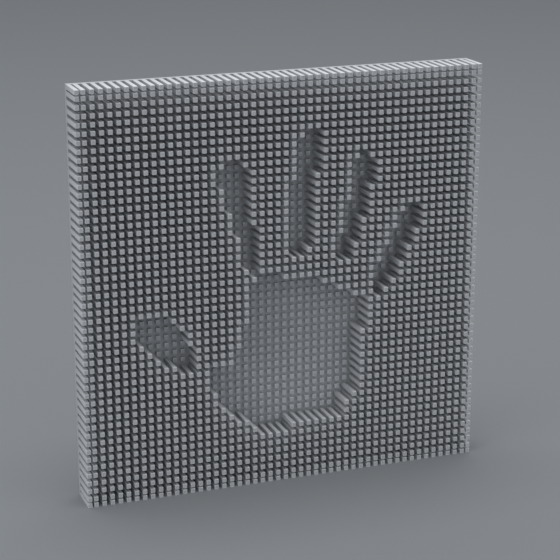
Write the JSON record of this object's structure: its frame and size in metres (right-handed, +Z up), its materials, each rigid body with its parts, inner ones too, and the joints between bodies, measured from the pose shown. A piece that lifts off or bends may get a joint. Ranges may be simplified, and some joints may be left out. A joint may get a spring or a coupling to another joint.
{
  "type": "pin art impression toy",
  "caption": "Upright block of straight pins in a perforated plate; pins pressed in from the front slide back and hold a hand print.",
  "frame": {"origin": "on the ground, at the middle of the toy's width and of its depth at rest", "axes": "+X to the viewer's right, +Y from the front of the block to its back, +Z up; pins are pressed along +Y"},
  "size_m": [0.25, 0.0404, 0.2502],
  "materials": {
    "sliding_pins": "satin moulded grey",
    "border_pins": "satin moulded grey",
    "collars": "matt moulded dark grey",
    "guide_plate": "satin moulded grey"
  },
  "bodies": {
    "block": {"guide_plate": "guide_plate", "border_pins_top": "border_pins", "border_pins_bottom": "border_pins", "border_pins_left": "border_pins", "border_pins_right": "border_pins"},
    "bank_thumb": {"pins_thumb": "sliding_pins", "collars_thumb": "collars"},
    "bank_index": {"pins_index": "sliding_pins", "collars_index": "collars"},
    "bank_middle": {"pins_middle": "sliding_pins", "collars_middle": "collars"},
    "bank_ring": {"pins_ring": "sliding_pins", "collars_ring": "collars"},
    "bank_little": {"pins_little": "sliding_pins", "collars_little": "collars"},
    "bank_palm": {"pins_palm": "sliding_pins", "collars_palm": "collars"},
    "bank_top_left": {"pins_top_left": "sliding_pins", "collars_top_left": "collars"},
    "bank_top_centre": {"pins_top_centre": "sliding_pins", "collars_top_centre": "collars"},
    "bank_top_right": {"pins_top_right": "sliding_pins", "collars_top_right": "collars"},
    "bank_left_upper": {"pins_left_upper": "sliding_pins", "collars_left_upper": "collars"},
    "bank_index_outer": {"pins_index_outer": "sliding_pins", "collars_index_outer": "collars"},
    "bank_index_middle": {"pins_index_middle": "sliding_pins", "collars_index_middle": "collars"},
    "bank_middle_ring": {"pins_middle_ring": "sliding_pins", "collars_middle_ring": "collars"},
    "bank_ring_little": {"pins_ring_little": "sliding_pins", "collars_ring_little": "collars"},
    "bank_right_upper": {"pins_right_upper": "sliding_pins", "collars_right_upper": "collars"},
    "bank_little_outer": {"pins_little_outer": "sliding_pins", "collars_little_outer": "collars"},
    "bank_thumb_web": {"pins_thumb_web": "sliding_pins", "collars_thumb_web": "collars"},
    "bank_left_lower": {"pins_left_lower": "sliding_pins", "collars_left_lower": "collars"},
    "bank_right_lower": {"pins_right_lower": "sliding_pins", "collars_right_lower": "collars"},
    "bank_thumb_outer": {"pins_thumb_outer": "sliding_pins", "collars_thumb_outer": "collars"},
    "bank_bottom_left": {"pins_bottom_left": "sliding_pins", "collars_bottom_left": "collars"},
    "bank_bottom_centre": {"pins_bottom_centre": "sliding_pins", "collars_bottom_centre": "collars"},
    "bank_bottom_right": {"pins_bottom_right": "sliding_pins", "collars_bottom_right": "collars"}
  },
  "joints": [
    {"name": "press_thumb", "type": "slide", "parent": "block", "child": "bank_thumb", "axis": [0, 1, 0], "range_m": [-0.01665, 0]},
    {"name": "press_index", "type": "slide", "parent": "block", "child": "bank_index", "axis": [0, 1, 0], "range_m": [-0.01665, 0]},
    {"name": "press_middle", "type": "slide", "parent": "block", "child": "bank_middle", "axis": [0, 1, 0], "range_m": [-0.01665, 0]},
    {"name": "press_ring", "type": "slide", "parent": "block", "child": "bank_ring", "axis": [0, 1, 0], "range_m": [-0.01665, 0]},
    {"name": "press_little", "type": "slide", "parent": "block", "child": "bank_little", "axis": [0, 1, 0], "range_m": [-0.01665, 0]},
    {"name": "press_palm", "type": "slide", "parent": "block", "child": "bank_palm", "axis": [0, 1, 0], "range_m": [-0.01665, 0]},
    {"name": "press_top_left", "type": "slide", "parent": "block", "child": "bank_top_left", "axis": [0, 1, 0], "range_m": [0, 0.01665]},
    {"name": "press_top_centre", "type": "slide", "parent": "block", "child": "bank_top_centre", "axis": [0, 1, 0], "range_m": [0, 0.01665]},
    {"name": "press_top_right", "type": "slide", "parent": "block", "child": "bank_top_right", "axis": [0, 1, 0], "range_m": [0, 0.01665]},
    {"name": "press_left_upper", "type": "slide", "parent": "block", "child": "bank_left_upper", "axis": [0, 1, 0], "range_m": [0, 0.01665]},
    {"name": "press_index_outer", "type": "slide", "parent": "block", "child": "bank_index_outer", "axis": [0, 1, 0], "range_m": [0, 0.01665]},
    {"name": "press_index_middle", "type": "slide", "parent": "block", "child": "bank_index_middle", "axis": [0, 1, 0], "range_m": [0, 0.01665]},
    {"name": "press_middle_ring", "type": "slide", "parent": "block", "child": "bank_middle_ring", "axis": [0, 1, 0], "range_m": [0, 0.01665]},
    {"name": "press_ring_little", "type": "slide", "parent": "block", "child": "bank_ring_little", "axis": [0, 1, 0], "range_m": [0, 0.01665]},
    {"name": "press_right_upper", "type": "slide", "parent": "block", "child": "bank_right_upper", "axis": [0, 1, 0], "range_m": [0, 0.01665]},
    {"name": "press_little_outer", "type": "slide", "parent": "block", "child": "bank_little_outer", "axis": [0, 1, 0], "range_m": [0, 0.01665]},
    {"name": "press_thumb_web", "type": "slide", "parent": "block", "child": "bank_thumb_web", "axis": [0, 1, 0], "range_m": [0, 0.01665]},
    {"name": "press_left_lower", "type": "slide", "parent": "block", "child": "bank_left_lower", "axis": [0, 1, 0], "range_m": [0, 0.01665]},
    {"name": "press_right_lower", "type": "slide", "parent": "block", "child": "bank_right_lower", "axis": [0, 1, 0], "range_m": [0, 0.01665]},
    {"name": "press_thumb_outer", "type": "slide", "parent": "block", "child": "bank_thumb_outer", "axis": [0, 1, 0], "range_m": [0, 0.01665]},
    {"name": "press_bottom_left", "type": "slide", "parent": "block", "child": "bank_bottom_left", "axis": [0, 1, 0], "range_m": [0, 0.01665]},
    {"name": "press_bottom_centre", "type": "slide", "parent": "block", "child": "bank_bottom_centre", "axis": [0, 1, 0], "range_m": [0, 0.01665]},
    {"name": "press_bottom_right", "type": "slide", "parent": "block", "child": "bank_bottom_right", "axis": [0, 1, 0], "range_m": [0, 0.01665]}
  ]
}
